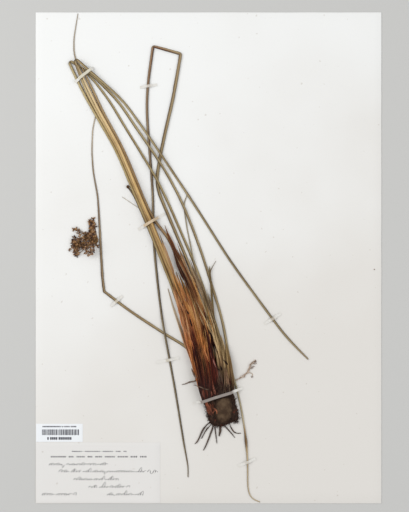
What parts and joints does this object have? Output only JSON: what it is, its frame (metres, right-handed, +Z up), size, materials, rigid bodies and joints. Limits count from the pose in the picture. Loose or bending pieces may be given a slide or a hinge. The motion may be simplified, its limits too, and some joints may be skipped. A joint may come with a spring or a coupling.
{
  "type": "pressed soft rush herbarium sheet",
  "caption": "Pressed, dried tuft of soft rush with its roots, folded stems and a seed head, strapped on an upright paper sheet with a label and slip; it lies flat",
  "frame": {"origin": "the middle of the sheet's flat back", "axes": "+X to the sheet's right as it is read, +Y to its top, +Z up off the paper, on the side the plant is on"},
  "size_m": [0.293, 0.416, 0.0098],
  "materials": {
    "sheet_paper": "matte",
    "label_paper": "matte",
    "slip_paper": "satin",
    "strap_linen": "matte",
    "dried_culm": "satin",
    "sheath_skin": "satin",
    "fine_growth": "matte",
    "seed_capsule": "satin",
    "root": "matte",
    "soil": "matte"
  },
  "bodies": {
    "root": {"catalogue_slip": "slip_paper", "collection_label": "label_paper", "culm_brown": "dried_culm", "culm_bud_stub": "dried_culm", "culm_flowering": "dried_culm", "culm_gold": "dried_culm", "culm_long_tip": "dried_culm", "culm_olive_folded": "dried_culm", "culm_tan_folded": "dried_culm", "culm_twice_folded": "dried_culm", "hair_fibre": "fine_growth", "mounting_sheet": "sheet_paper", "panicle_branch_inner": "seed_capsule", "panicle_branch_lower": "seed_capsule", "panicle_branch_middle": "seed_capsule", "panicle_branch_outer": "seed_capsule", "panicle_branch_upper": "seed_capsule", "root_crown": "root", "rootlet_left": "root", "rootlet_over_base": "root", "sheath_brown_right": "sheath_skin", "sheath_cream_thin": "sheath_skin", "sheath_dark_long": "sheath_skin", "sheath_dark_red": "sheath_skin", "sheath_forked": "sheath_skin", "sheath_gold_light": "sheath_skin", "sheath_golden_brown": "sheath_skin", "sheath_grey_cut": "sheath_skin", "sheath_grey_pink": "sheath_skin", "sheath_olive_middle": "sheath_skin", "sheath_olive_right": "sheath_skin", "sheath_pink_right": "sheath_skin", "sheath_purple_short": "sheath_skin", "sheath_red_brown": "sheath_skin", "sheath_rust_broad": "sheath_skin", "sheath_rust_brown": "sheath_skin", "sheath_rust_scale": "sheath_skin", "soil_clod": "soil", "spur_left": "root", "strap_base": "strap_linen", "strap_flowering": "strap_linen", "strap_fold": "strap_linen", "strap_long_tip": "strap_linen", "strap_lower": "strap_linen", "strap_middle": "strap_linen", "strap_side": "strap_linen", "strap_top": "strap_linen", "thin_blade": "fine_growth", "withered_shoot": "fine_growth"}
  },
  "joints": []
}
